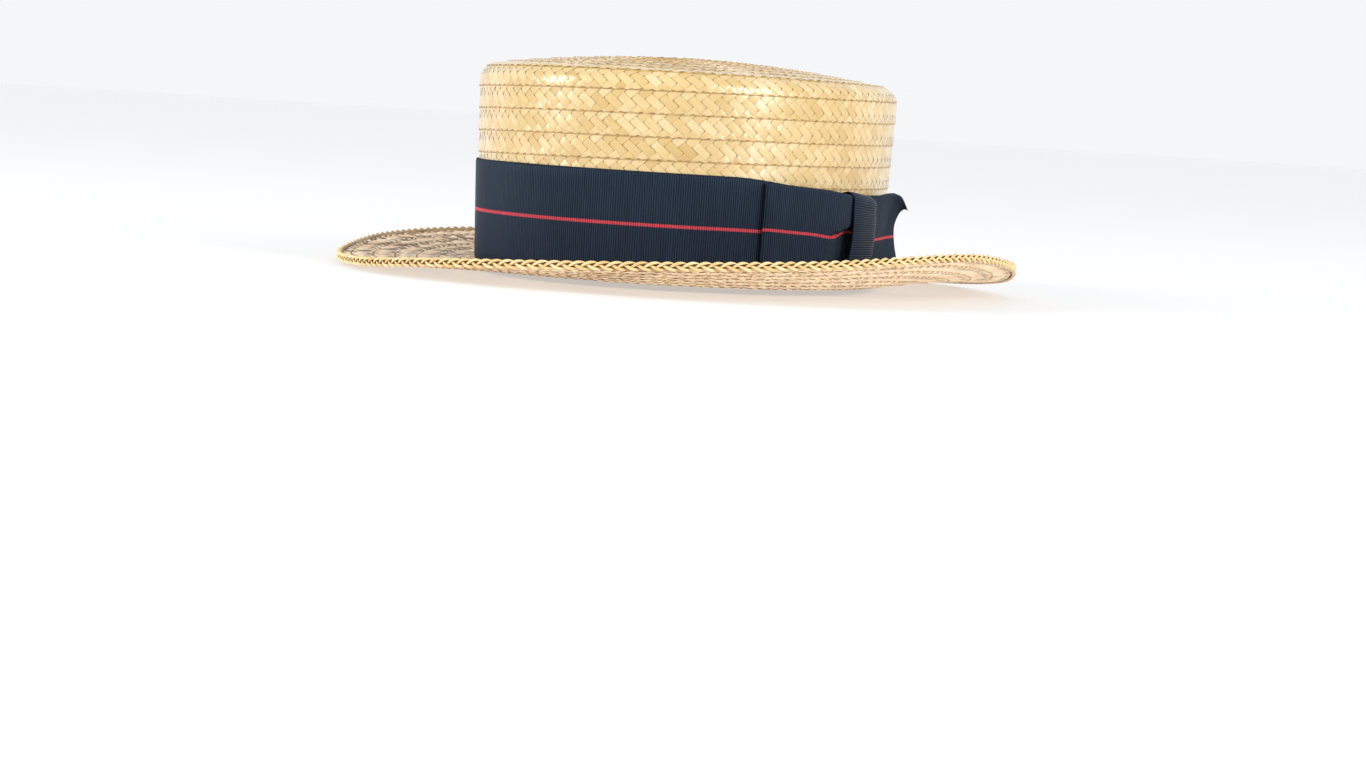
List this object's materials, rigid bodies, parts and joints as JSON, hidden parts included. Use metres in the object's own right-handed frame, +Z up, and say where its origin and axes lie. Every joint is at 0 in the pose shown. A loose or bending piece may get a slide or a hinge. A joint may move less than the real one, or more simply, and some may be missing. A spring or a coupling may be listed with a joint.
{
  "type": "straw boater hat",
  "caption": "Stiff straw boater hat with an oval flat-topped crown, warped flat brim, wide striped ribbon band and flat side bow; it covers and shades the head.",
  "frame": {"origin": "middle of the hat on the surface that its rim rests on", "axes": "+Z up; the brow is toward -Y; the wearer's left, where the bow is, is toward +X"},
  "size_m": [0.289, 0.321, 0.0952],
  "materials": {
    "crown_straw": "glossy lacquered straw plait, pale gold",
    "brim_straw": "satin straw plait, tan with dark slits",
    "edge_straw": "golden straw chain braid",
    "navy_ribbon": "ribbed grosgrain, navy with a thin red stripe"
  },
  "bodies": {
    "root": {"crown": "crown_straw", "brim": "brim_straw", "brim_edge_braid": "edge_straw", "ribbon_band": "navy_ribbon", "bow_front_loop": "navy_ribbon", "bow_tail": "navy_ribbon", "bow_knot": "navy_ribbon"}
  },
  "joints": []
}
